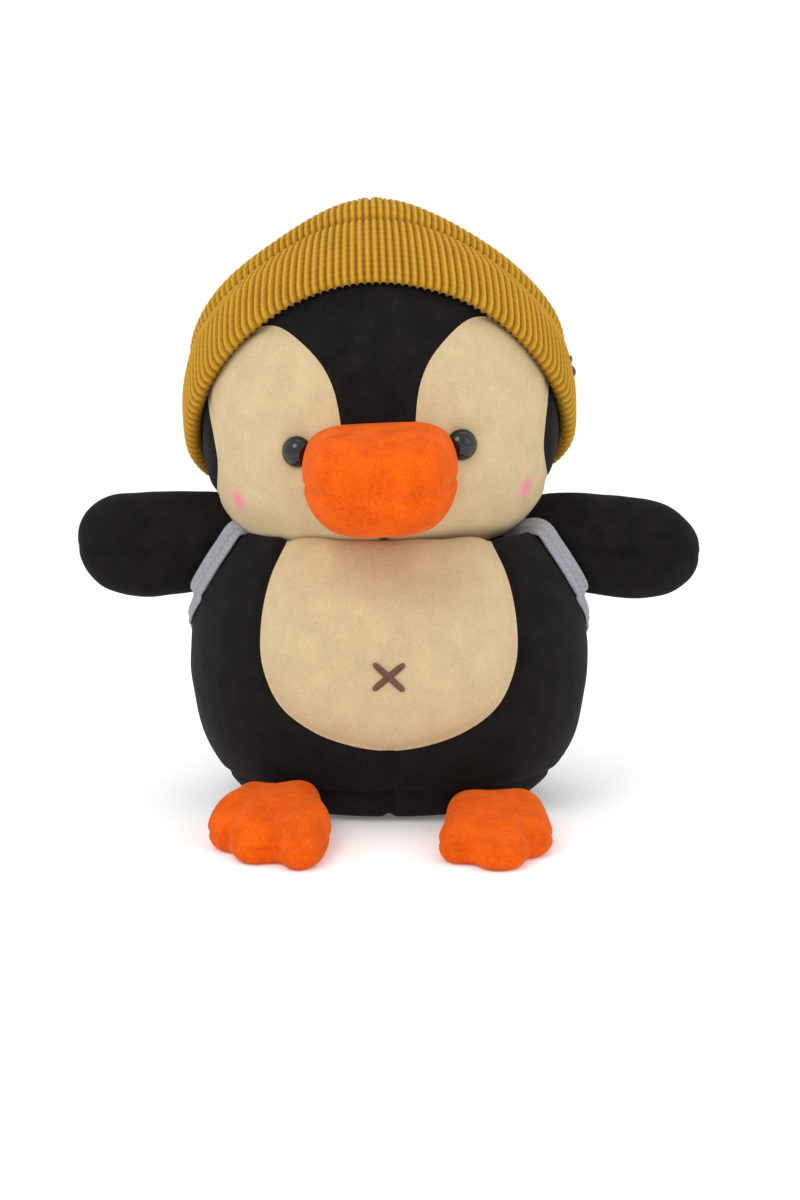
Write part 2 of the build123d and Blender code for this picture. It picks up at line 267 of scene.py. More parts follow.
def blushed(nodes, links, coords, colour):
    """The colour with a soft pink oval on each cheek."""
    for side in (1, -1):
        middle = head_place(BLUSH_MIDDLE * [side, 1, 1])
        place = nodes.new("ShaderNodeMapping")
        place.vector_type = "TEXTURE"
        place.inputs["Location"].default_value = tuple(middle)
        place.inputs["Rotation"].default_value = (0, side * BLUSH_LEAN, 0)
        place.inputs["Scale"].default_value = tuple(BLUSH_SIZE)
        links.new(coords, place.inputs["Vector"])
        length = nodes.new("ShaderNodeVectorMath")
        length.operation = "LENGTH"
        links.new(place.outputs["Vector"], length.inputs[0])
        full, none = (0.85, 0.85, 0.85), (0, 0, 0)
        strength = ramp_between(nodes, links, length.outputs["Value"], full, none, 0.25, 1.0)
        mixed = nodes.new("ShaderNodeMix")
        mixed.data_type = "RGBA"
        links.new(strength.outputs["Color"], mixed.inputs["Factor"])
        links.new(colour, mixed.inputs["A"])
        mixed.inputs["B"].default_value = BLUSH_PINK
        colour = mixed.outputs["Result"]
    return colour


def plush(name, dark, light, sheen, sheen_tint, nap=1.0, blush=False):
    """Short-pile plush: tufted colour, lighter and darker patches of painted nap sheen, a soft nap in the
    bump, and sheen at grazing light.
    """
    material, nodes, links = new_material(name)
    shader = nodes["Principled BSDF"]
    coords = nodes.new("ShaderNodeTexCoord").outputs["Object"]
    tufts = noise_node(nodes, links, coords, 900, 4, 0.7)
    # painted sheen: broad lighter and darker patches where the nap catches the light, mixed into the colour;
    # the fine tufts are random tone
    nap_sheen_patches = noise_node(nodes, links, coords, 110, 3, 0.55)
    mix = nodes.new("ShaderNodeMath")
    mix.operation = "MULTIPLY_ADD"
    links.new(nap_sheen_patches.outputs["Fac"], mix.inputs[0])
    mix.inputs[1].default_value = 0.45
    half = nodes.new("ShaderNodeMath")
    half.operation = "MULTIPLY"
    links.new(tufts.outputs["Fac"], half.inputs[0])
    half.inputs[1].default_value = 0.55
    links.new(half.outputs[0], mix.inputs[2])
    colour = ramp_between(nodes, links, mix.outputs[0], dark, light, 0.36, 0.62).outputs["Color"]
    if blush:
        colour = blushed(nodes, links, coords, colour)
    links.new(colour, shader.inputs["Base Color"])
    shader.inputs["Roughness"].default_value = 0.95
    shader.inputs["Specular IOR Level"].default_value = 0.15
    shader.inputs["Sheen Weight"].default_value = sheen
    shader.inputs["Sheen Roughness"].default_value = 0.45
    shader.inputs["Sheen Tint"].default_value = (*sheen_tint, 1)
    add_relief(nodes, links, shader, mix.outputs[0], strength=0.55 * nap, depth=0.6 * MM)
    return material


def thread(name, dark, light, gloss=0.5):
    """Fine satin thread with small strand-to-strand colour changes."""
    material, nodes, links = new_material(name)
    shader = nodes["Principled BSDF"]
    coords = nodes.new("ShaderNodeTexCoord").outputs["Object"]
    strands = noise_node(nodes, links, coords, 1600, 2)
    colour = ramp_between(nodes, links, strands.outputs["Fac"], dark, light)
    links.new(colour.outputs["Color"], shader.inputs["Base Color"])
    shader.inputs["Roughness"].default_value = 1 - gloss
    shader.inputs["Sheen Weight"].default_value = 0.2
    add_relief(nodes, links, shader, strands.outputs["Fac"], strength=0.3, depth=0.1 * MM)
    return material


def knit(name):
    """Wool-like ribbed knit: stitch chevrons from the UV map, fuzz from noise. Painted shade in the colour:
    darker in the grooves between ribs and in the stitch hollows, lighter on the rib tops.
    """
    material, nodes, links = new_material(name)
    shader = nodes["Principled BSDF"]
    coordinates = nodes.new("ShaderNodeTexCoord")
    split = nodes.new("ShaderNodeSeparateXYZ")
    links.new(coordinates.outputs["UV"], split.inputs[0])

    def math_node(operation, first, second=None):
        node = nodes.new("ShaderNodeMath")
        node.operation = operation
        for socket, value in zip(node.inputs, (first, second)):
            if isinstance(value, (int, float)):
                socket.default_value = value
            elif value is not None:
                links.new(value, socket)
        return node.outputs[0]

    across = math_node("ABSOLUTE", math_node("SUBTRACT", math_node("FRACT", split.outputs["X"]), 0.5))
    lean = math_node("MULTIPLY", across, 1.3)
    phase = math_node("MULTIPLY", math_node("ADD", split.outputs["Y"], lean), 2 * math.pi)
    stitch = math_node("MULTIPLY", math_node("ADD", math_node("SINE", phase), 1.0), 0.5)
    fuzz = noise_node(nodes, links, coordinates.outputs["Object"], 1300, 4, 0.7)
    broad = noise_node(nodes, links, coordinates.outputs["Object"], 90, 2)
    fuzz_height = math_node("MULTIPLY", fuzz.outputs["Fac"], 0.7)
    height = math_node("ADD", math_node("MULTIPLY", stitch, 0.14), fuzz_height)
    broad_shade = math_node("MULTIPLY", broad.outputs["Fac"], 0.3)
    # colour follows the height: painted shade in the stitch hollows, random tone from the fuzz and broad
    # noise
    knit_tone_and_painted_shade = math_node("ADD", math_node("MULTIPLY", height, 0.7), broad_shade)
    # painted shade: 1 on the rib tops, 0 in the grooves between ribs; the ramp's dark end is the grooves'
    # shade
    rib_painted_shade = math_node("MULTIPLY", across, 2.0)
    knit_tone_and_painted_shade = math_node("ADD", math_node("MULTIPLY", knit_tone_and_painted_shade, 0.55), math_node("MULTIPLY", rib_painted_shade, 0.45))
    colour = ramp_between(nodes, links, knit_tone_and_painted_shade, (0.19, 0.080, 0.002), (0.57, 0.310, 0.022), 0.16, 0.68)
    links.new(colour.outputs["Color"], shader.inputs["Base Color"])
    shader.inputs["Roughness"].default_value = 0.9
    shader.inputs["Specular IOR Level"].default_value = 0.2
    shader.inputs["Sheen Weight"].default_value = 0.06
    shader.inputs["Sheen Roughness"].default_value = 0.5
    shader.inputs["Sheen Tint"].default_value = (1.0, 0.8, 0.45, 1)
    add_relief(nodes, links, shader, height, strength=0.7, depth=0.5 * MM)
    return material


def moulded(name, colour, roughness):
    """Moulded plastic with faint uneven gloss."""
    material, nodes, links = new_material(name)
    shader = nodes["Principled BSDF"]
    coords = nodes.new("ShaderNodeTexCoord").outputs["Object"]
    haze = noise_node(nodes, links, coords, 300, 2)
    tone = ramp_between(nodes, links, haze.outputs["Fac"], tuple(0.8 * c for c in colour), colour)
    links.new(tone.outputs["Color"], shader.inputs["Base Color"])
    shader.inputs["Roughness"].default_value = roughness
    return material


BLUSH_MIDDLE = np.array([56.2, -30.0, 28.4]) * MM       # from the neck, in the head's own axes
BLUSH_SIZE = np.array([4.0, 9.0, 6.2]) * MM
BLUSH_LEAN = math.radians(18)
BLUSH_PINK = (0.80, 0.20, 0.33, 1)
BLACK = plush("black_plush", (0.0030, 0.0022, 0.0024), (0.0100, 0.0080, 0.0084), 0.04, (0.60, 0.54, 0.56))
CREAM_LOOK = ((0.50, 0.385, 0.222), (0.60, 0.465, 0.272), 0.08, (1.0, 0.93, 0.82))
CREAM = plush("cream_plush", *CREAM_LOOK)
FACE_CREAM = plush("face_plush", *CREAM_LOOK, blush=True)
ORANGE = plush("orange_plush", (0.58, 0.065, 0.001), (0.80, 0.115, 0.002), 0.14, (1.0, 0.42, 0.12))
KNIT = knit("mustard_knit")
BROWN_THREAD = thread("brown_thread", (0.085, 0.028, 0.012), (0.16, 0.060, 0.026))
ORANGE_THREAD = thread("orange_thread", (0.62, 0.085, 0.004), (0.85, 0.14, 0.01))
SLATE_THREAD = thread("slate_thread", (0.085, 0.075, 0.17), (0.16, 0.14, 0.28))
ELASTIC = thread("grey_elastic", (0.22, 0.22, 0.25), (0.34, 0.34, 0.38), 0.25)
FELT = plush("grey_felt", (0.050, 0.050, 0.062), (0.085, 0.085, 0.10), 0.2, (0.7, 0.7, 0.8), 0.5)
EYE_GLOSS = moulded("eye_plastic", (0.006, 0.005, 0.005), 0.06)
SNAP_PLASTIC = moulded("snap_plastic", (0.12, 0.12, 0.14), 0.35)
WASHER_PLASTIC = moulded("washer_plastic", (0.75, 0.75, 0.75), 0.4)
FILLING = plush("fibrefill", (0.75, 0.75, 0.75), (0.9, 0.9, 0.9), 0.3, (1, 1, 1))


def finish_hidden_nodes():
    """CAD nodes that stay, inside or plain, get a material of their own."""
    for name, node in frame["nodes"].items():
        material = FILLING
        if name.startswith("eye_washer"):
            material = WASHER_PLASTIC
        node.data.materials.clear()
        node.data.materials.append(material)


finish_hidden_nodes()

FILLING_DEPTH = 2.6 * MM


def add_filling(name, points, faces):
    """Fibre filling: the shape of its cloth, a pile's thickness further in and lumpier."""
    inward = vertex_normals(points, faces) * (FILLING_DEPTH + 0.5 * MM * wobble(points, 90, 83))[:, None]
    return add_mesh(name, points - inward, faces, FILLING)


fillings = {}

# ---- torso --------------------------------------------------------------
TORSO_PROFILE = [      # half width and height in millimetres, from under the base to under the head
    (0.5, 0.4), (30, 0.3), (47, 0.5), (57, 3.5), (66.5, 12), (76, 28), (81.2, 50), (81, 68),
    (77, 88), (69.5, 101.5), (60.5, 112), (50, 108.8), (38, 104.8), (18, 103), (0.5, 103),
]
BELLY_OUTLINE = [      # half of the belly patch's edge, from the top centre down the penguin's left
    (0, 132), (30, 130), (40, 111), (46.5, 97), (49.8, 80), (49.2, 64), (42.5, 49), (30, 39.5),
    (15, 34.2), (0, 32.2),
]
BASE_SEAM = 13 * MM


def mirrored_outline(half, count):
    """A closed outline from its left half, as evenly spaced points in metres."""
    right = [(-x, z) for x, z in reversed(half[1:-1])]
    return smooth_path(list(half) + right, count, closed=True) * MM


BELLY_EDGE = mirrored_outline(BELLY_OUTLINE, 160)


def belly_field(points):
    """Positive on the belly patch, about the distance from its edge."""
    return np.where(points[:, 1] < 0, outline_distance(points[:, [0, 2]], BELLY_EDGE), -0.05)


def base_field(points):
    return BASE_SEAM - points[:, 2]


def side_field(points):
    return points[:, 0]


def back_field(points):
    return points[:, 1] - 2 * MM


def off_centre_angles(columns):
    """Even angles round a body, none of them on its middle seam."""
    return (np.arange(columns) + 0.5) * 2 * math.pi / columns


def torso_surface(rows=150, columns=288):
    profile = smooth_path(TORSO_PROFILE, rows) * MM
    angle = off_centre_angles(columns)
    power = 2 / 2.12
    across = powered(np.cos(angle), power)
    through = powered(np.sin(angle), power)
    x = profile[:, :1] * across
    y = profile[:, :1] * TORSO_RATIO * through
    z = np.repeat(profile[:, 1:], columns, axis=1)
    points = np.stack([x, y, z], axis=-1).reshape(-1, 3)
    return points, ring_faces(rows, columns)


def shape_torso(points, faces):
    """Seam grooves, and the soft lumps of fibre filling."""
    normals = vertex_normals(points, faces)
    lift = 0.9 * MM * wobble(points, 28) + 0.45 * MM * wobble(points, 70, 5)
    lift *= np.clip(points[:, 2] / (8 * MM), 0, 1)
    belly = belly_field(points)
    lift -= 1.3 * MM * bump(belly, 2.2 * MM)
    lift += 0.8 * MM * bump(belly - 9 * MM, 7 * MM)
    seams = np.where(belly > 0, 1.0, bump(points[:, 0], 1.8 * MM))
    lift -= 1.5 * MM * np.where(belly > 0, 0, seams)
    lift -= 1.0 * MM * bump(points[:, 1] - 2 * MM, 1.8 * MM)
    lift -= 1.5 * MM * bump(points[:, 2] - BASE_SEAM, 1.6 * MM)
    lift -= 1.4 * MM * bump(np.linalg.norm(points - [0, -64 * MM, 62 * MM], axis=1), 9 * MM)
    return points + normals * lift[:, None]


torso_points, torso_faces = torso_surface()
torso_points = shape_torso(torso_points, torso_faces)
fillings["torso_stuffing"] = add_filling("torso_stuffing", torso_points, torso_faces)
torso_tree = tree_from(torso_points, torso_faces)
cut_points, cut_faces, (on_base, on_belly, on_left, on_back) = cut_into_panels(
    torso_points, torso_faces, [base_field, belly_field, side_field, back_field])
owners = np.where(on_back, np.where(on_left, "torso_back_left", "torso_back_right"),
                  np.where(on_left, "torso_front_left", "torso_front_right"))
owners = np.where(on_belly, "belly_patch", owners)
owners = np.where(on_base, "torso_base", owners)
torso_panels = add_panels(cut_points, cut_faces, owners, {
    "torso_front_left": BLACK, "torso_front_right": BLACK, "torso_back_left": BLACK,
    "torso_back_right": BLACK, "torso_base": BLACK, "belly_patch": CREAM,
})

# ---- head ---------------------------------------------------------------
HEAD_PROFILE = [       # half width and height above the neck, in millimetres
    (0.5, 2.6), (22, 3.0), (41, 5.2), (52, 9.5), (60, 16.5), (67, 27.5), (71.2, 41), (72, 52), (70, 70),
    (62.5, 90), (50, 108), (34, 121), (17, 129.5), (0.5, 132.5),
]
FACE_OUTLINE = [       # edge of the left face patch, seen from the front
    (0.0, -6), (0.0, 22), (9, 30), (13.6, 42), (14.3, 58), (17, 73), (24, 85), (37.5, 95.5), (51, 93),
    (62, 84), (68, 73), (67.5, 63), (65.6, 52), (64.6, 42), (67, 27), (70, -6),
]
EYE_PLACE = np.array([31.8, 0.0, 48.0]) * MM
EYE_TURN = math.radians(15)
CHEEK_PLACE = np.array([44.0, 27.0]) * MM       # out to the side and above the neck
FACE_EDGE = np.vstack([FACE_OUTLINE[:2], smooth_path(FACE_OUTLINE[2:-1], 90), FACE_OUTLINE[-1:]]) * MM


def patch_field(points):
    """Positive on the cream patch of either side, from the head's own axes."""
    flat = np.stack([np.abs(points[:, 0]), points[:, 2]], axis=1)
    return np.where(points[:, 1] < 6 * MM, outline_distance(flat, FACE_EDGE), -0.05)


def crown_field(points):
    return 37 * MM - np.abs(points[:, 0])


def head_surface(rows=150, columns=300):
    profile = smooth_path(HEAD_PROFILE, rows) * MM
    angle = off_centre_angles(columns)
    x = profile[:, :1] * np.cos(angle)
    y = profile[:, :1] * HEAD_RATIO * np.sin(angle)
    z = np.repeat(profile[:, 1:], columns, axis=1)
    return np.stack([x, y, z], axis=-1).reshape(-1, 3), ring_faces(rows, columns)


def shape_head(points, faces):
    normals = vertex_normals(points, faces)
    lift = 0.8 * MM * wobble(points, 30, 11) + 0.4 * MM * wobble(points, 75, 17)
    patch = patch_field(points)
    lift -= 1.2 * MM * bump(patch, 2.0 * MM)
    front = points[:, 1] < 0
    under_beak = front & (points[:, 2] < 26 * MM)
    lift -= 1.6 * MM * bump(points[:, 0], 2.0 * MM) * under_beak
    for side in (1, -1):
        eye = EYE_PLACE * [side, 1, 1]
        from_eye = np.hypot(points[:, 0] - eye[0], points[:, 2] - eye[2])
        lift -= 3.4 * MM * bump(from_eye, 7.5 * MM) * front
        from_cheek = np.hypot(points[:, 0] - side * CHEEK_PLACE[0], points[:, 2] - CHEEK_PLACE[1])
        lift += 1.5 * MM * bump(from_cheek, 17 * MM) * front
    return points + normals * lift[:, None]


head_points, head_faces = head_surface()
head_points = shape_head(head_points, head_faces)
fillings["head_stuffing"] = add_filling("head_stuffing", head_place(head_points), head_faces)
cut_points, cut_faces, (on_patch, on_crown, on_left) = cut_into_panels(
    head_points, head_faces, [patch_field, crown_field, side_field])
owners = np.where(on_left, "head_side_left", "head_side_right")
owners = np.where(on_crown, "head_centre", owners)
owners = np.where(on_patch, np.where(on_left, "face_patch_left", "face_patch_right"), owners)
head_panels = add_panels(head_place(cut_points), cut_faces, owners, {
    "head_centre": BLACK, "head_side_left": BLACK, "head_side_right": BLACK,
    "face_patch_left": FACE_CREAM, "face_patch_right": FACE_CREAM,
})

# ---- beak ---------------------------------------------------------------
BEAK_OUTLINE = [       # left half of the beak seen from the front, from the top centre down
    (0, 58.6), (11, 58.4), (19.5, 57.2), (26, 53.2), (29.2, 46.5), (30.0, 39), (29.2, 31.5), (26, 24.5),
    (20, 18.8), (11, 16.2), (0, 15.9),
]
BEAK_MIDDLE = np.array([0.0, 37.5]) * MM
BEAK_ROOT = -53 * MM
BEAK_REACH = 45 * MM
MOUTH = 35.0 * MM


def mouth_height(x):
    return MOUTH - 1.6 * MM * np.cos(x / (14 * MM))


def mouth_field(points):
    return points[:, 2] - mouth_height(points[:, 0])


def beak_surface(rows=70, columns=200):
    outline = mirrored_outline(BEAK_OUTLINE, columns) - BEAK_MIDDLE
    turn = np.linspace(-0.45, math.pi / 2, rows)[:, None]
    narrow = np.cos(turn) ** 0.60
    forward = powered(np.sin(turn), 0.85)
    x = outline[:, 0] * narrow
    z = outline[:, 1] * narrow + BEAK_MIDDLE[1] - 1.5 * MM * np.clip(forward, 0, 1)
    y = BEAK_ROOT - BEAK_REACH * forward * np.ones_like(x)
    return np.stack([x, y, z], axis=-1).reshape(-1, 3), ring_faces(rows, columns)


beak_points, beak_faces = beak_surface()
beak_faces = beak_faces[:, ::-1]
beak_normals = vertex_normals(beak_points, beak_faces)
mouth = mouth_field(beak_points)
beak_lift = 0.3 * MM * wobble(beak_points, 40, 23) - 0.9 * MM * bump(mouth, 1.6 * MM)
beak_points = beak_points + beak_normals * beak_lift[:, None]
fillings["beak_stuffing"] = add_filling("beak_stuffing", head_place(beak_points), beak_faces)
cut_points, cut_faces, (on_upper,) = cut_into_panels(beak_points, beak_faces, [mouth_field])
beak_panels = add_panels(head_place(cut_points), cut_faces, np.where(on_upper, "beak_upper", "beak_lower"),
                         {"beak_upper": ORANGE, "beak_lower": ORANGE})

MOUTH_STITCHES = 26


def add_mouth_stitches():
    """Short hand stitches along the mouth seam, laid on the beak's front."""
    beak_tree = tree_from(beak_points, beak_faces)
    points, faces = [], []
    rows, columns = 9, 8
    turn = round_angles(columns)
    for index in range(MOUTH_STITCHES):
        middle_x = (index - (MOUTH_STITCHES - 1) / 2) * 2.05 * MM
        share = np.linspace(-1, 1, rows)
        x = middle_x + share * 0.66 * MM
        z = mouth_height(x) + share * 0.22 * MM * (-1) ** index
        arch = np.sqrt(np.clip(1 - share ** 2, 0.02, 1))
        for row in range(rows):
            hit, normal, _, _ = beak_tree.ray_cast(Vector((x[row], -0.2, z[row])), Vector((0, 1, 0)))
            centre = np.array(hit) + np.array(normal) * 0.18 * MM * arch[row]
            side = np.cross(np.array(normal), [1.0, 0, 0])
            ring = np.outer(np.cos(turn), side) + np.outer(np.sin(turn), np.array(normal))
            points.append(centre + 0.17 * MM * arch[row] * ring)
        faces.append(ring_faces(rows, columns) + index * rows * columns)
    return add_mesh("mouth_stitches", head_place(np.vstack(points)), np.vstack(faces), ORANGE_THREAD)


beak_panels["mouth_stitches"] = add_mouth_stitches()

# ---- eyes ---------------------------------------------------------------
EYE_DOME = [(0, 4.5), (2.2, 4.1), (4.2, 2.9), (5.5, 1.3), (6.05, 0.0), (5.9, -0.9), (5.2, -1.3),
            (1.75, -1.4), (1.7, -12.0), (0.05, -12.4)]


def add_eye(side):
    """A domed button on its stem, turned slightly outward."""
    profile = smooth_path(EYE_DOME, 60) * MM
    angle = round_angles(48)
    outward = profile[:, 1:] * np.ones_like(angle)
    points = np.stack([profile[:, :1] * np.cos(angle), -outward, profile[:, :1] * np.sin(angle)], axis=-1)
    points = points.reshape(-1, 3)
    turn = side * EYE_TURN
    spin = np.array([[math.cos(turn), -math.sin(turn), 0], [math.sin(turn), math.cos(turn), 0], [0, 0, 1]])
    surface_y = -HEAD_RATIO * math.sqrt(HEAD_HALF ** 2 - EYE_PLACE[0] ** 2) + 1.3 * MM
    points = points @ spin.T + [side * EYE_PLACE[0], surface_y, EYE_PLACE[2]]
    name = "eye_left" if side > 0 else "eye_right"
    return add_mesh(name, head_place(points), ring_faces(60, 48), EYE_GLOSS)


eyes = {"eye_left": add_eye(1), "eye_right": add_eye(-1)}

# ---- flippers -----------------------------------------------------------
FLIPPER_SHAPE = {      # distance out from the shoulder, middle height, half height, half thickness
    "left": [(-20, 1.5, 15.5, 9), (-10, 1.5, 18.5, 11.5), (2, 1.0, 20.0, 13), (16, -0.5, 20.8, 13.8),
             (30, -2.0, 20.6, 13.2), (41, -2.6, 18.0, 11.5), (49, -2.8, 12.5, 8.5), (53.5, -2.8, 6.0, 4.5),
             (55, -2.8, 0.4, 0.4)],
    "right": [(-20, 1.5, 15.5, 9), (-10, 1.8, 18.5, 11.5), (2, 1.5, 20.0, 13), (16, 0.6, 21.2, 13.8),
              (30, -0.2, 21.3, 13.6), (42, 0.2, 19.0, 12), (50, 0.8, 13.5, 8.5), (54, 1.0, 7.0, 4.5),
              (55.2, 1.0, 0.4, 0.4)],
}


def add_flipper(side):
    sign = 1 if side == "left" else -1
    rows, columns = 110, 120
    spine = smooth_path(FLIPPER_SHAPE[side], rows) * MM
    angle = round_angles(columns)
    power = 2 / 2.15
    y = spine[:, 3:] * powered(np.cos(angle), power)
    z = spine[:, 2:3] * powered(np.sin(angle), power) + spine[:, 1:2]
    x = sign * spine[:, :1] * np.ones_like(y)
    points = np.stack([x, y, z], axis=-1).reshape(-1, 3) + SHOULDER * [sign, 1, 1]
    faces = ring_faces(rows, columns)
    if sign < 0:
        faces = faces[:, ::-1]
    drop = np.interp(np.abs(points[:, 0]), SHOULDER[0] + spine[:, 0], spine[:, 1])

    def seam_field(at):
        middle = np.interp(np.abs(at[:, 0]), SHOULDER[0] + spine[:, 0], spine[:, 1])
        return at[:, 2] - SHOULDER[2] - middle + 1.5 * MM

    normals = vertex_normals(points, faces)
    seam = points[:, 2] - SHOULDER[2] - drop + 1.5 * MM
    lift = 0.9 * MM * wobble(points, 40, 31 + sign) + 0.4 * MM * wobble(points, 95, 37)
    outward = np.abs(points[:, 0]) - SHOULDER[0]
    tip_fade = np.clip((53 * MM - outward) / (14 * MM), 0.12, 1)
    lift -= 1.6 * MM * bump(seam, 1.9 * MM) * tip_fade
    puckers = np.sin(outward / (2.4 * MM)) * bump(seam, 7 * MM) * 0.35 * MM
    points = points + normals * (lift + puckers)[:, None]
    fillings[f"flipper_{side}_stuffing"] = add_filling(f"flipper_{side}_stuffing", points, faces)
    points, faces, (above,) = cut_into_panels(points, faces, [seam_field])
    upper, lower = f"flipper_{side}_upper", f"flipper_{side}_lower"
    return add_panels(points, faces, np.where(above, upper, lower), {upper: BLACK, lower: BLACK})


flipper_panels = {side: add_flipper(side) for side in ("left", "right")}

# ---- feet ---------------------------------------------------------------
FOOT_OUTLINE = {       # across and ahead of the ankle, in millimetres, from the heel round by its left
    "left": [(0, -10), (12, -9), (18, -4), (20, 8), (20.5, 24), (21.5, 38), (19, 47.5), (15.5, 51.5),
             (12, 54.5), (10.8, 61), (7.2, 68), (0, 71.2), (-7, 68.6), (-10.6, 62.5), (-13.5, 61.3),
             (-17, 61), (-21.5, 56.5),
             (-22.5, 47), (-20.5, 34), (-19, 20), (-18.5, 6), (-17, -4), (-12, -9)],
    "right": [(-2, -10), (9, -8), (14, -2), (16, 8), (18, 20), (18.8, 34), (18.5, 48), (17, 60), (14, 67),
              (8, 70.5), (2.5, 67.5), (0, 61), (-3.5, 60.5), (-9, 62), (-15, 58.5), (-18, 51.5), (-19.5, 45),
              (-23.5, 42), (-27, 35), (-27.5, 26), (-24.5, 15), (-21, 4), (-19, -4), (-13, -9)],
}
FOOT_NOTCHES = {"left": [(-11.5, 61), (11.5, 55)], "right": [(-0.5, 60.5), (-19.5, 44.5)]}
FOOT_HEIGHTS = [       # ahead of the ankle, and height above the table
    (-10, 14), (0, 18), (8, 20), (20, 19.5), (40, 17), (56, 14.5), (72, 12),
]
FOOT_TALL = {"left": 0.88, "right": 1.04}       # the right foot is stuffed fuller
FOOT_EDGE = {side: smooth_path(outline, 140, closed=True) * MM for side, outline in FOOT_OUTLINE.items()}
TOE_VALLEY = 18 * MM
FOOT_FILLING = 0.84         # size of the filling over that of the foot


def toe_valleys(flat, side):
    """How deep a point lies in the valleys that part the toes, from 0 to 1."""
    depth = np.zeros(len(flat))
    for notch in np.array(FOOT_NOTCHES[side]) * MM:
        way = np.array([-0.35 * notch[0], -TOE_VALLEY])
        along = np.clip((flat - notch) @ way / (way @ way), 0, 1)
        away = np.linalg.norm(flat - notch - along[:, None] * way, axis=1)
        depth = np.maximum(depth, bump(away, 2.6 * MM) * (1 - 0.9 * along))
    return depth


def add_foot(side):
    sign = 1 if side == "left" else -1
    columns, top_rows, under_rows = 240, 60, 26
    centre = np.array([0, 30 * MM])
    angle = round_angles(columns)
    way = np.stack([np.cos(angle), np.sin(angle)], axis=1)
    low, high = np.zeros(columns), np.full(columns, 60 * MM)
    for _ in range(30):
        middle = (low + high) / 2
        inside = outline_distance(centre + way * middle[:, None], FOOT_EDGE[side]) > 0
        low, high = np.where(inside, middle, low), np.where(inside, high, middle)
    out = np.concatenate([np.sin(np.linspace(0, math.pi / 2, under_rows)),
                          np.sin(np.linspace(math.pi / 2, 0, top_rows))[1:]])
    out = np.maximum(out, 0.002)
    flat = centre + way[None] * (low[None, :, None] * out[:, None, None])
    inside = np.clip(outline_distance(flat.reshape(-1, 2), FOOT_EDGE[side]), 0, None).reshape(flat.shape[:2])
    share = np.repeat(out[:, None], columns, axis=1)
    is_top = (np.arange(len(out)) >= under_rows - 1)[:, None]
    edge_height = 6.0 * MM
    full = FOOT_TALL[side] * np.interp(flat[..., 1], *(np.array(FOOT_HEIGHTS).T * MM))
    dome = np.sqrt(np.clip(1 - share ** 4.5, 0, 1))
    top = edge_height + (full - edge_height) * dome
    rim = 1 - np.clip(inside / (5 * MM), 0, 1)
    under = edge_height * (1 - np.sqrt(np.clip(1 - rim ** 2, 0, 1)))
    height = np.where(is_top, top, under)
    x = flat[..., 0] + sign * ANKLE[0]
    y = ANKLE[1] - flat[..., 1]
    points = np.stack([x, y, height], axis=-1).reshape(-1, 3)
    faces = ring_faces(len(out), columns)
    normals = vertex_normals(points, faces)
    if normals[len(points) - columns // 2, 2] < 0:
        faces = faces[:, ::-1]
        normals = -normals
    raised = np.clip((points[:, 2] - 3 * MM) / (6 * MM), 0, 1)
    seam = points[:, 2] - edge_height
    folds = wobble(points, 45, 41 + sign) + 0.5 * wobble(points, 110, 47)
    diagonal = points[:, 0] * 0.85 - points[:, 1] * 0.5
    crease = np.sin(diagonal / (2.9 * MM) + 2.5 * wobble(points, 26, 53)) * (1.0 if side == "right" else 0.25)
    lift = raised * MM * (0.7 * folds + 0.7 * crease) - 0.9 * MM * bump(seam, 1.3 * MM)
    lift -= 1.3 * MM * raised * toe_valleys(flat.reshape(-1, 2), side)
    points = points + normals * lift[:, None]
    points[:, 2] = np.maximum(points[:, 2], 0.0002)

    def sole_field(at):
        return edge_height - at[:, 2]

    middle = points.mean(0)
    filling = middle + FOOT_FILLING * (points - middle)
    fillings[f"foot_{side}_stuffing"] = add_mesh(f"foot_{side}_stuffing", filling, faces, FILLING)
    points, faces, (is_sole,) = cut_into_panels(points, faces, [sole_field])
    upper, sole = f"foot_{side}_upper", f"foot_{side}_sole"
    return add_panels(points, faces, np.where(is_sole, sole, upper), {upper: ORANGE, sole: ORANGE})


foot_panels = {side: add_foot(side) for side in ("left", "right")}

# ---- hat: a ribbed knit cap that follows the back of the head ---------------
HAT_MIDDLE = np.array([0.0, 6.0, 60.0]) * MM       # from the neck, in the head's own axes
HAT_LEAN = math.radians(32)
HAT_TO_TIP = np.array([0.0, math.sin(HAT_LEAN), math.cos(HAT_LEAN)])
HAT_TO_BACK = np.array([0.0, math.cos(HAT_LEAN), -math.sin(HAT_LEAN)])
RIM_CURVE = [          # the rim seen from the side: distance behind the neck and height above it
    (-60, 160), (-48, 135), (-41, 114), (-38, 105), (-29, 85), (-17, 67), (-3, 51), (9, 40), (25, 31),
    (45, 26), (85, 24),
]
RIBS = 146
STITCH = 2.6 * MM
CUFF_SECTION = [       # up from the rim and out from the head, from the lining over the rim to the roll
    (13, 0.8), (6, 0.9), (1.5, 1.1), (-0.9, 2.2), (-0.8, 4.2), (1.5, 5.6), (6, 6.2), (14, 7.2), (22, 8.2),
    (26.4, 8.7), (28.2, 7.6), (28.5, 5.4), (29.2, 7.2), (30.6, 9.4), (33.5, 10.9), (37, 10.9), (41, 9.6),
    (46, 8.4),
]
CROWN_STANDOFF = 6.4 * MM


def head_outline():
    """The head's profile as height, half width, and the slope of its outward normal."""
    profile = smooth_path(HEAD_PROFILE, 700) * MM
    run = np.gradient(profile, axis=0)
    normal = np.stack([run[:, 1], -run[:, 0]], axis=1)
    normal /= np.linalg.norm(normal, axis=1, keepdims=True)
    return profile[:, 1], profile[:, 0], normal


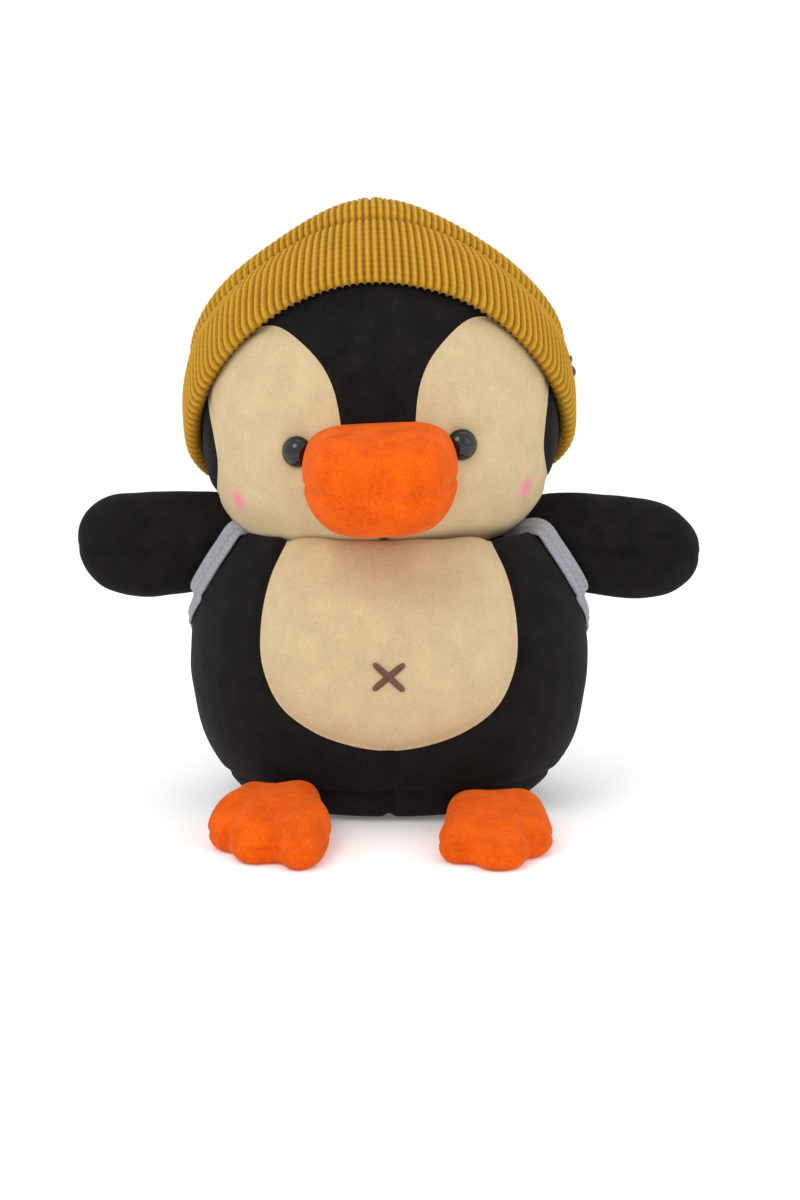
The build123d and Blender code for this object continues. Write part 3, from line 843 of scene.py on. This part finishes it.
def hat_lines(columns, samples):
    """Lines on the head from below the rim to the hat's tip: points, normals and lengths from the rim."""
    heights, widths, normals = head_outline()
    angle = round_angles(columns)[:, None]
    rise = np.linspace(math.radians(-62), math.radians(89.9), samples)[None]
    spread = np.array([1.0, 0, 0]) * np.cos(angle)[..., None] + HAT_TO_BACK * np.sin(angle)[..., None]
    way = spread * np.cos(rise)[..., None] + HAT_TO_TIP * np.sin(rise)[..., None]
    near, far = np.zeros(way.shape[:2]), np.full(way.shape[:2], 0.13)
    for _ in range(26):
        middle = (near + far) / 2
        at = HAT_MIDDLE + way * middle[..., None]
        width = np.interp(at[..., 2], heights, widths, left=1e-6, right=1e-6)
        inside = np.hypot(at[..., 0], at[..., 1] / HEAD_RATIO) < width
        near, far = np.where(inside, middle, near), np.where(inside, far, middle)
    points = HAT_MIDDLE + way * near[..., None]
    width = np.maximum(np.hypot(points[..., 0], points[..., 1] / HEAD_RATIO), 1e-6)
    flat = np.interp(points[..., 2], heights, normals[:, 0])
    upward = np.interp(points[..., 2], heights, normals[:, 1])
    sideways = flat * points[..., 0] / width
    backward = flat * points[..., 1] / width / HEAD_RATIO ** 2
    outward = np.stack([sideways, backward, upward], -1)
    outward /= np.linalg.norm(outward, axis=-1, keepdims=True)
    rim = smooth_path(RIM_CURVE, 200) * MM
    above = points[..., 2] - np.interp(points[..., 1], rim[:, 0], rim[:, 1])
    steps = np.linalg.norm(np.diff(points, axis=1), axis=-1)
    along = np.concatenate([np.zeros((columns, 1)), np.cumsum(steps, axis=1)], axis=1)
    for column in range(columns):
        last_below = int(np.nonzero(above[column] < 0)[0].max())
        low, high = above[column, last_below:last_below + 2]
        share = -low / (high - low)
        along[column] -= along[column, last_below] + share * steps[column, last_below]
    return points, outward, along


def add_hat():
    columns, cuff_rows, crown_rows = RIBS * 6, 110, 46
    base, outward, along = hat_lines(columns, 150)
    section = smooth_path(CUFF_SECTION, cuff_rows) * MM
    up_crown = np.linspace(0, 1, crown_rows + 1)[1:]
    angle = round_angles(columns)
    ridge = np.abs(np.cos(angle * RIBS / 2)) ** 0.8 - 0.55
    wide = np.abs(np.cos(angle))
    rows = cuff_rows + crown_rows
    points = np.zeros((rows, columns, 3))
    normals = np.zeros((rows, columns, 3))
    off = np.zeros((rows, columns))
    for column in range(columns):
        length = along[column]
        top = section[-1, 0] + up_crown * (length[-1] - section[-1, 0])
        at = np.concatenate([section[:, 0], top])
        for axis in range(3):
            points[:, column, axis] = np.interp(at, length, base[column, :, axis])
            normals[:, column, axis] = np.interp(at, length, outward[column, :, axis])
        crown_off = section[-1, 1] + (CROWN_STANDOFF - section[-1, 1]) * np.minimum(1, up_crown * 3)
        off[:, column] = np.concatenate([section[:, 1], crown_off])
    cuff_end = section[-1, 0]
    mean_along = np.concatenate([section[:, 0], cuff_end + up_crown * (along[:, -1].mean() - cuff_end)])
    scallop = 0.5 * MM * bump(np.arange(rows) - 30, 12)[:, None] * ridge
    flank = np.sin(2 * angle) ** 2 * (np.sin(angle) < 0)
    above_cuff = np.clip((mean_along - 18 * MM) / (10 * MM), 0, 1)[:, None]
    off = off * (1 + 0.10 * wide) + scallop - 3.0 * MM * flank * above_cuff
    from_tip = np.linalg.norm(points - points[-1].mean(0), axis=-1)
    narrow = np.clip(from_tip / (55 * MM), 0.06, 1)
    stitches = np.clip(ridge, 0, 1) * np.sin(2 * math.pi * mean_along / STITCH)[:, None]
    lift = 1.5 * MM * narrow * ridge + 0.05 * MM * narrow * stitches
    on_crown = (np.arange(rows) >= cuff_rows)[:, None]
    pucker = bump(points[..., 0], 17 * MM) * bump(points[..., 1] - 2 * MM, 12 * MM) * (points[..., 2] > 0.1)
    lift = lift + 2.6 * MM * pucker * (np.arange(rows) >= cuff_rows - 22)[:, None]
    gathers = 1.1 * MM * np.cos(4 * angle) * bump(from_tip - 14 * MM, 13 * MM)
    lift = lift + on_crown * gathers
    flat_points = points.reshape(-1, 3)
    lift = lift + 0.9 * MM * wobble(flat_points, 24, 61).reshape(lift.shape)
    placed = head_place((points + normals * (off + lift)[..., None]).reshape(-1, 3))
    faces = ring_faces(rows, columns)
    made = {}
    crease_row = int(np.argmin(section[40:, 1] + 99 * (section[40:, 0] < 27 * MM))) + 40
    ring = faces[:, 0] // columns
    for name, mine in (("hat_cuff", ring < crease_row), ("hat_crown", ring >= crease_row)):
        chosen = faces[mine]
        used = np.unique(chosen)
        place = np.zeros(len(flat_points), int)
        place[used] = np.arange(len(used))
        piece = add_mesh(name, placed[used], place[chosen], KNIT)
        layer = piece.data.uv_layers.new(name="UVMap")
        column = chosen % columns
        wrapped = (column == 0) & (np.roll(column, 1, axis=1) == columns - 1)
        wrapped |= (column == 0) & (np.roll(column, -1, axis=1) == columns - 1)
        u = np.where(wrapped, columns, column) / 6.0
        v = mean_along[chosen // columns] / STITCH
        layer.data.foreach_set("uv", np.stack([u, v], axis=-1).reshape(-1))
        made[name] = piece
    return made


hat_pieces = add_hat()


def tree_of(piece):
    mesh = piece.data
    places = [v.co.copy() for v in mesh.vertices]
    return BVHTree.FromPolygons(places, [tuple(p.vertices) for p in mesh.polygons])


def add_hat_mark():
    """A plain stitched bar on the left side of the cuff."""
    low, high = (np.array(corner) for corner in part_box("hat_mark"))
    middle = (low + high) / 2
    cuff_tree = tree_of(hat_pieces["hat_cuff"])
    rows, columns = 130, 12
    along = np.linspace(-4.2, 4.2, rows) * MM
    taper = np.sqrt(np.clip(1 - (along / (4.25 * MM)) ** 6, 0.01, 1))
    turn = round_angles(columns)
    strands = 1 + 0.10 * np.sin(2 * math.pi * along / (0.42 * MM))
    across = (1.5 * MM * taper * strands)[:, None] * np.cos(turn)
    proud = (0.75 * MM * taper * strands)[:, None] * np.sin(turn) + 0.35 * MM
    points = np.zeros((rows, columns, 3))
    points[..., 1] = middle[1] + across
    points[..., 2] = middle[2] + along[:, None]
    for row in range(rows):
        start = Vector((0.2, middle[1], middle[2] + along[row]))
        hit, _, _, _ = cuff_tree.ray_cast(start, Vector((-1, 0, 0)))
        points[row, :, 0] = hit.x
    points[:, :, 0] = smooth_rows(points[:, :, 0], 60) + proud
    return add_mesh("hat_mark", points.reshape(-1, 3), ring_faces(rows, columns), SLATE_THREAD)


# ---- straps -------------------------------------------------------------
STRAP_FRONT = [        # from under the head, down the front of the shoulder, to under the flipper
    (47, -6, 109.5), (54, -13, 113), (61, -17.2, 113.5), (66, -18.6, 107), (71, -19, 99.5), (75.5, -18.2, 92),
    (79.5, -14, 84.5), (82.3, -5, 78.5), (82.6, 6, 74),
]
STRAP_BACK = [         # on round the side to the lower corner of the bag
    (79, 20, 67), (71, 34, 59), (58, 47, 50), (45, 56, 42.5), (36, 60, 38.5),
]
STRAP_TOP = [          # from the front run over the shoulder, behind, to the top of the bag
    (47, -6, 109.5), (44, 8, 107.5), (42, 24, 105.5), (41, 37, 101.5), (40, 46.5, 95), (38.5, 53, 86),
    (37, 57, 77), (36.5, 60, 68), (36, 61.5, 60),
]
STRAP_WIDTH = 8.2 * MM
STRAP_SECTION = [      # across the strap and up from its underside, as shares of width and in millimetres
    (-0.5, 0.15), (-0.49, 0.75), (-0.44, 1.1), (-0.3, 1.15), (-0.13, 1.2), (-0.08, 1.75), (0.0, 1.95),
    (0.08, 1.75), (0.13, 1.2), (0.3, 1.15), (0.44, 1.1), (0.49, 0.75), (0.5, 0.15), (0.0, 0.1),
]
ELASTIC_PITCH = 1.15 * MM


def strap_run(route, sign, onto_torso):
    """One stretch of flat elastic along a route, cross-ribbed, as grid points."""
    middle = smooth_path(route, 400) * MM
    middle[:, 0] *= sign
    outward = np.zeros_like(middle)
    for k, at in enumerate(middle):
        near, normal, _, _ = torso_tree.find_nearest(Vector(at))
        outward[k] = normal
        if onto_torso[k]:
            middle[k] = np.array(near) + np.array(normal) * 0.3 * MM
    outward[~onto_torso] = 0.25 * outward[~onto_torso] + np.array([0.35 * sign, -0.85, 0.3])
    outward = smooth_rows(outward, 60)
    middle = smooth_rows(middle, 12)
    ahead = np.gradient(middle, axis=0)
    ahead /= np.linalg.norm(ahead, axis=1, keepdims=True)
    outward -= (outward * ahead).sum(1, keepdims=True) * ahead
    outward /= np.linalg.norm(outward, axis=1, keepdims=True)
    across = np.cross(ahead, outward)
    run = np.concatenate([[0], np.cumsum(np.linalg.norm(np.diff(middle, axis=0), axis=1))])
    section = np.array(STRAP_SECTION)
    ribs = 0.13 * MM * np.sin(2 * math.pi * run / ELASTIC_PITCH)[:, None] * (section[:, 1] > 0.5)
    up = section[:, 1] * MM + ribs
    side = section[:, 0] * STRAP_WIDTH
    points = middle[:, None] + across[:, None] * side[None, :, None] + outward[:, None] * up[..., None]
    return points


def add_strap(name, sign):
    rows = 400
    front = strap_run(STRAP_FRONT + STRAP_BACK, sign, np.arange(rows) > 125)
    top = strap_run(STRAP_TOP, sign, np.arange(rows) > 60)
    columns = len(STRAP_SECTION)
    faces = ring_faces(rows, columns)
    points = np.vstack([front.reshape(-1, 3), top.reshape(-1, 3)])
    faces = np.vstack([faces, faces + rows * columns])
    if sign < 0:
        faces = faces[:, ::-1]
    return add_mesh(name, points, faces, ELASTIC)


hat_pieces["hat_mark"] = add_hat_mark()
straps = {"strap_left": add_strap("strap_left", 1), "strap_right": add_strap("strap_right", -1)}

# ---- crossed stitches on the belly ----------------------------------------
STITCH_CENTRE = np.array([0.0, 0.0, 62.0]) * MM
STITCH_BAR = 16.0 * MM
STITCH_HALF_WIDTH = 1.25 * MM
THREAD_PITCH = 0.42 * MM


def add_satin_bar(lean, raised):
    """A padded bar of thread laid on the belly: fine strands run across it."""
    rows, columns = 240, 12
    along = np.linspace(-STITCH_BAR / 2, STITCH_BAR / 2, rows)
    taper = np.sqrt(np.clip(1 - (along / (STITCH_BAR / 2)) ** 8, 0, 1))
    half = STITCH_HALF_WIDTH * np.maximum(taper, 0.05)
    half = half * (1 + 0.06 * np.sin(2 * math.pi * along / THREAD_PITCH))
    turn = round_angles(columns)
    across = half[:, None] * np.cos(turn)
    proud = (0.55 * MM * np.maximum(taper, 0.05) * (1 + 0.12 * np.sin(2 * math.pi * along / THREAD_PITCH)))
    proud = proud[:, None] * np.sin(turn) + raised
    angle = math.radians(lean)
    x = along[:, None] * math.cos(angle) - across * math.sin(angle)
    z = along[:, None] * math.sin(angle) + across * math.cos(angle)
    points = np.stack([x, np.zeros_like(x), z], axis=-1) + STITCH_CENTRE
    for i in range(rows):
        start = Vector((points[i, :, 0].mean(), -0.2, points[i, :, 2].mean()))
        hit, _, _, _ = torso_tree.ray_cast(start, Vector((0, 1, 0)))
        points[i, :, 1] = hit.y - proud[i]
    return points.reshape(-1, 3), ring_faces(rows, columns)


def add_belly_stitch():
    under_points, under_faces = add_satin_bar(40, 0.35 * MM)
    over_points, over_faces = add_satin_bar(-42, 0.75 * MM)
    points = np.vstack([under_points, over_points])
    faces = np.vstack([under_faces, over_faces + len(under_points)])
    return add_mesh("belly_stitch", points, faces, BROWN_THREAD)


belly_stitch = add_belly_stitch()

# ---- neck: a soft black cuff between torso and head ------------------------
NECK_PROFILE = [       # half width and height about the neck's middle
    (0.5, -15), (14, -13.5), (27, -9), (34, -3), (36, 3), (33, 8), (24, 11), (10, 12.5), (0.5, 13),
]


def add_neck():
    rows, columns = 60, 160
    profile = smooth_path(NECK_PROFILE, rows) * MM
    turn = round_angles(columns)
    folds = 1 + 0.02 * np.sin(11 * turn)
    x = profile[:, :1] * np.cos(turn) * folds
    y = profile[:, :1] * np.sin(turn) * HEAD_RATIO * folds
    z = profile[:, 1:] * np.ones_like(turn)
    points = np.stack([x, y, z], axis=-1)
    return add_mesh("neck_stuffing", points.reshape(-1, 3) + NECK, ring_faces(rows, columns), BLACK)


neck = add_neck()

# ---- small bag on the back ------------------------------------------------
BAG_LOW, BAG_HIGH = (np.array(corner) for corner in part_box("bag_pouch"))
FLAP_LOW, FLAP_HIGH = (np.array(corner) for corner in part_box("bag_flap"))


def soft_box(low, high, corner, rows, columns, puff, open_top=False):
    """A stuffed box as rings from its bottom up, with rounded upright edges and swollen walls."""
    middle, half = (low + high) / 2, (high - low) / 2
    angle = round_angles(columns)
    power = 2 / 5.0
    unit_x = powered(np.cos(angle), power)
    unit_y = powered(np.sin(angle), power)
    profile = [(0.01, 0), (0.8, 0.0), (0.96, corner * 0.3), (1.0, corner), (1.0, 0.5), (1.0, 1.0)]
    if not open_top:
        profile = profile[:-1] + [(1.0, 1 - corner), (0.96, 1 - corner * 0.3), (0.8, 1), (0.01, 1)]
    path = smooth_path(profile, rows)
    share, level = path[:, :1], path[:, 1:]
    swell = 1 + puff * np.sin(math.pi * np.clip(level, 0, 1))
    x = middle[0] + half[0] * share * unit_x * swell
    y = middle[1] + half[1] * share * unit_y * swell
    z = low[2] + (high[2] - low[2]) * level * np.ones_like(x)
    return np.stack([x, y, z], axis=-1).reshape(-1, 3)


POUCH_CORNER = 0.16        # rounding at the bottom, as a share of the height
POUCH_PUFF = 0.02


def add_pouch():
    """Outer wall, rolled lip and inner wall of the open pouch."""
    rows, columns = 70, 160
    seat = np.array([0, 5, 0]) * MM
    outer = soft_box(BAG_LOW + seat, BAG_HIGH, POUCH_CORNER, rows, columns, POUCH_PUFF, open_top=True)
    outer = outer.reshape(rows, columns, 3)
    wall = np.array([2.2, 2.2, 0]) * MM
    floor_gap = np.array([0, 0, 2.2]) * MM
    inner_low = BAG_LOW + seat + wall + floor_gap
    inner = soft_box(inner_low, BAG_HIGH - wall, POUCH_CORNER, rows, columns, POUCH_PUFF, open_top=True)
    inner = inner.reshape(rows, columns, 3)[::-1]
    lip = (outer[-1:] + inner[:1]) / 2 + [0, 0, 0.9 * MM]
    points = np.concatenate([outer, lip, inner]).reshape(-1, 3)
    faces = ring_faces(2 * rows + 1, columns)
    normals = vertex_normals(points, faces)
    points = points + normals * (0.5 * MM * wobble(points, 60, 71))[:, None]
    return add_mesh("bag_pouch", points, faces, FELT)


def add_flap():
    """A folded flap: a flat top over the pouch, a rounded fold, and a front tongue with a bound edge."""
    rows, columns = 90, 60
    top_y, front_y = FLAP_LOW[1], FLAP_HIGH[1]
    fold = 5 * MM
    route = [(top_y, FLAP_HIGH[2] - 0.9 * MM), (front_y - 3 * fold, FLAP_HIGH[2] - 0.6 * MM),
             (front_y - fold, FLAP_HIGH[2] - 0.9 * MM), (front_y - 1.6 * MM, FLAP_HIGH[2] - 0.8 * fold),
             (front_y - 0.9 * MM, FLAP_HIGH[2] - 2.4 * fold), (front_y - 0.9 * MM, FLAP_LOW[2])]
    spine = smooth_path(route, rows)
    ahead = np.gradient(spine, axis=0)
    ahead /= np.linalg.norm(ahead, axis=1, keepdims=True)
    outward = np.stack([-ahead[:, 1], ahead[:, 0]], axis=1)
    share = np.linspace(0, 1, rows)
    rounded = np.sqrt(np.clip(1 - ((share - 0.6) / 0.4) ** 3.5, 0.02, 1))
    half_width = FLAP_HIGH[0] * np.where(share < 0.6, 1, rounded)
    turn = round_angles(columns)
    across = powered(np.cos(turn), 0.25)
    bead = 1 + 0.5 * bump(np.abs(across) - 0.96, 0.04)
    thick = 0.85 * MM * powered(np.sin(turn), 0.6) * bead
    x = half_width[:, None] * across
    y = spine[:, :1] + outward[:, :1] * thick
    z = spine[:, 1:] + outward[:, 1:] * thick
    points = np.stack([x, y, z], axis=-1).reshape(-1, 3)
    ends = [list(range(columns))[::-1], list(range((rows - 1) * columns, rows * columns))]
    return add_mesh("bag_flap", points, list(ring_faces(rows, columns)) + ends, FELT)


SNAP_PROFILE = [       # out from the middle and up from the flap
    (0.02, 2.0), (1.4, 1.9), (2.2, 1.5), (2.7, 1.75), (3.6, 1.6), (4.6, 1.0), (5.0, 0.2), (4.9, -0.4),
    (0.02, -0.4),
]


def add_snap():
    """A domed snap cap with a pressed ring."""
    low, high = (np.array(corner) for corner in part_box("bag_snap"))
    middle = (low + high) / 2
    profile = smooth_path(SNAP_PROFILE, 50) * MM
    turn = round_angles(48)
    x = middle[0] + profile[:, :1] * np.cos(turn)
    y = low[1] + profile[:, 1:] * np.ones_like(turn)
    z = middle[2] + profile[:, :1] * np.sin(turn)
    points = np.stack([x, y, z], axis=-1).reshape(-1, 3)
    return add_mesh("bag_snap", points, ring_faces(50, 48), SNAP_PLASTIC)


PANEL_INSET = 4 * MM       # how far the panel keeps inside the pouch's outline


def add_back_panel():
    """The bag's own felt wall, lying on the penguin's back, with a rolled edge."""
    low, high = (np.array(corner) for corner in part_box("bag_back"))
    rows, columns = 80, 90
    level = np.linspace(low[2] + PANEL_INSET, high[2], rows)
    turn = round_angles(columns)
    across = powered(np.cos(turn), 0.3) * (high[0] - PANEL_INSET)
    end = np.sqrt(np.clip(1 - np.abs(np.linspace(-1, 1, rows)) ** 20, 0.02, 1))
    points = np.zeros((rows, columns, 3))
    for row in range(rows):
        for column in range(columns):
            start = Vector((across[column], 0.2, level[row]))
            hit, normal, _, _ = torso_tree.ray_cast(start, Vector((0, -1, 0)))
            proud = (0.9 + 0.75 * powered(np.sin(turn[column]), 0.5) * end[row]) * MM
            points[row, column] = np.array(hit) + np.array(normal) * proud
    return add_mesh("bag_back", points.reshape(-1, 3), ring_faces(rows, columns), FELT)


bag_pieces = {
    "bag_back": add_back_panel(),
    "bag_pouch": add_pouch(),
    "bag_flap": add_flap(),
    "bag_snap": add_snap(),
}

# ---- camera, light and floor --------------------------------------------
camera_data = bpy.data.cameras.new("camera")
camera_data.lens = 75.95
camera = bpy.data.objects.new("camera", camera_data)
camera.location = (4.3 * MM, -1.023, 0.2397)
camera.rotation_euler = (math.radians(90 - 8.77), 0, 0)
bpy.context.scene.collection.objects.link(camera)
bpy.context.scene.camera = camera


def area_light(name, place, target, size, power):
    data = bpy.data.lights.new(name, "AREA")
    data.shape = "DISK"
    data.size = size
    data.energy = power
    light = bpy.data.objects.new(name, data)
    light.location = place
    light.rotation_euler = (Vector(target) - Vector(place)).to_track_quat("-Z", "Y").to_euler()
    bpy.context.scene.collection.objects.link(light)


area_light("key", (-0.55, -0.9, 1.1), (0, 0, 0.1), 0.7, 5)
area_light("fill", (0.9, -0.7, 0.6), (0, 0, 0.1), 0.9, 1.5)
area_light("top", (0.1, 0.3, 1.2), (0, 0, 0.1), 0.9, 1.5)
world = bpy.data.worlds.new("studio")
bpy.context.scene.world = world
world.use_nodes = True
world.node_tree.nodes["Background"].inputs["Color"].default_value = (1, 1, 1, 1)
world.node_tree.nodes["Background"].inputs["Strength"].default_value = 1.0
bpy.context.scene.view_settings.view_transform = "Standard"

floor_material, floor_nodes, floor_links = new_material("floor")
floor_shader = floor_nodes["Principled BSDF"]
floor_shader.inputs["Base Color"].default_value = (0.95, 0.95, 0.95, 1)
floor_shader.inputs["Roughness"].default_value = 0.9
floor_shader.inputs["Specular IOR Level"].default_value = 0.0
floor_shader.inputs["Emission Color"].default_value = (1, 1, 1, 1)
floor_shader.inputs["Emission Strength"].default_value = 0.12
FLOOR_RADIUS = 8.0
around = round_angles(96)
rim = np.stack([FLOOR_RADIUS * np.cos(around), FLOOR_RADIUS * np.sin(around), np.zeros_like(around)], axis=1)
floor = add_mesh("floor", rim, [list(range(len(rim)))], floor_material, smooth=False)

# ---- who rides on what --------------------------------------------------
def body_for(name):
    """The body of the node that a piece stands in for, or the head for what is only drawn."""
    return frame["nodes"][name]["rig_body"] if name in frame["nodes"] else "head"


made = {
    **torso_panels, **head_panels, **beak_panels, **eyes,
    **hat_pieces, **straps, **bag_pieces, **fillings,
}
made["belly_stitch"] = belly_stitch
made["neck_stuffing"] = neck
for side in ("left", "right"):
    made.update(flipper_panels[side])
    made.update(foot_panels[side])

BEND_SPAN = {          # from the torso's side of each sewn joint to the limb's side
    "flipper_left": (SHOULDER - [10 * MM, 0, 0], SHOULDER + [12 * MM, 0, 0]),
    "flipper_right": ((SHOULDER - [10 * MM, 0, 0]) * [-1, 1, 1], (SHOULDER + [12 * MM, 0, 0]) * [-1, 1, 1]),
    "foot_left": (ANKLE + [0, 4 * MM, 0], ANKLE - [0, 12 * MM, 0]),
    "foot_right": ((ANKLE + [0, 4 * MM, 0]) * [-1, 1, 1], (ANKLE - [0, 12 * MM, 0]) * [-1, 1, 1]),
}
for name, piece in made.items():
    body = body_for(name)
    if body in BEND_SPAN:
        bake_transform(piece)
    else:
        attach(piece, body)
    if name in frame["nodes"]:
        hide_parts(name)
